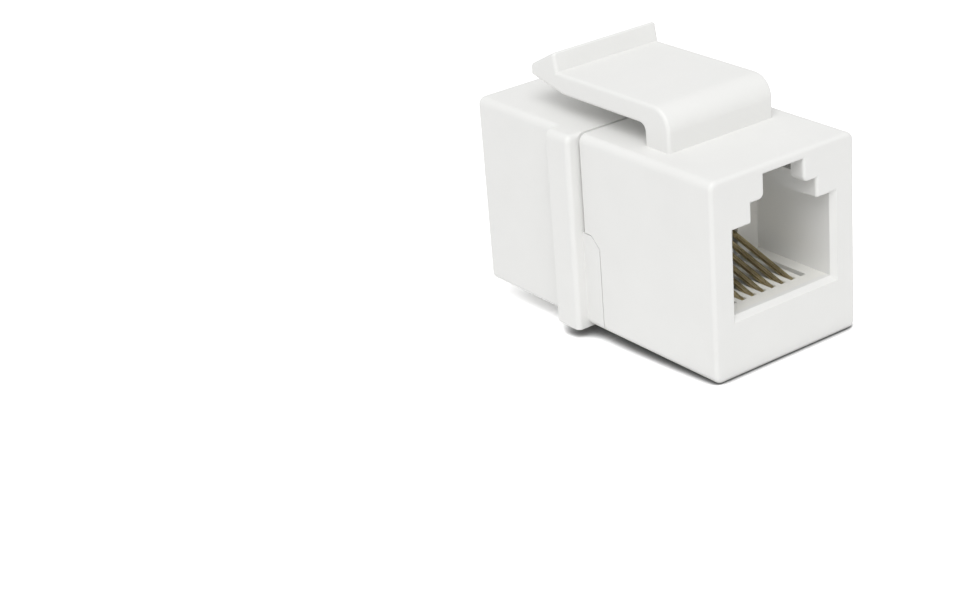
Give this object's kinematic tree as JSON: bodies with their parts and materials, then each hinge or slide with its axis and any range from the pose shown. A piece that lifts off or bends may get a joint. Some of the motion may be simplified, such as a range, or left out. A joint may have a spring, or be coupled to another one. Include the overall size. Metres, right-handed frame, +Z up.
{
  "type": "telephone keystone jack",
  "caption": "Feed-through telephone keystone jack: a rectangular plastic body with a modular socket at each end, a stop flange, a fixed catch below and a hooked spring latch on top.",
  "frame": {"origin": "middle of the jack's outline in plan, at the level of the fixed catch's lowest edge", "axes": "+X across the jack, +Y from the room-side socket to the wall-side socket, +Z up towards the spring latch"},
  "size_m": [0.0164, 0.0284, 0.0225],
  "materials": {
    "housing_plastic": "satin white moulding",
    "carrier_plastic": "white moulding",
    "contact_metal": "gold plated wire"
  },
  "bodies": {
    "root": {"front_housing": "housing_plastic", "rear_housing": "housing_plastic", "front_contact_carrier": "carrier_plastic", "rear_contact_carrier": "carrier_plastic", "contact_wire_1": "contact_metal", "contact_wire_2": "contact_metal", "contact_wire_3": "contact_metal", "contact_wire_4": "contact_metal", "contact_wire_5": "contact_metal", "contact_wire_6": "contact_metal"}
  },
  "joints": []
}
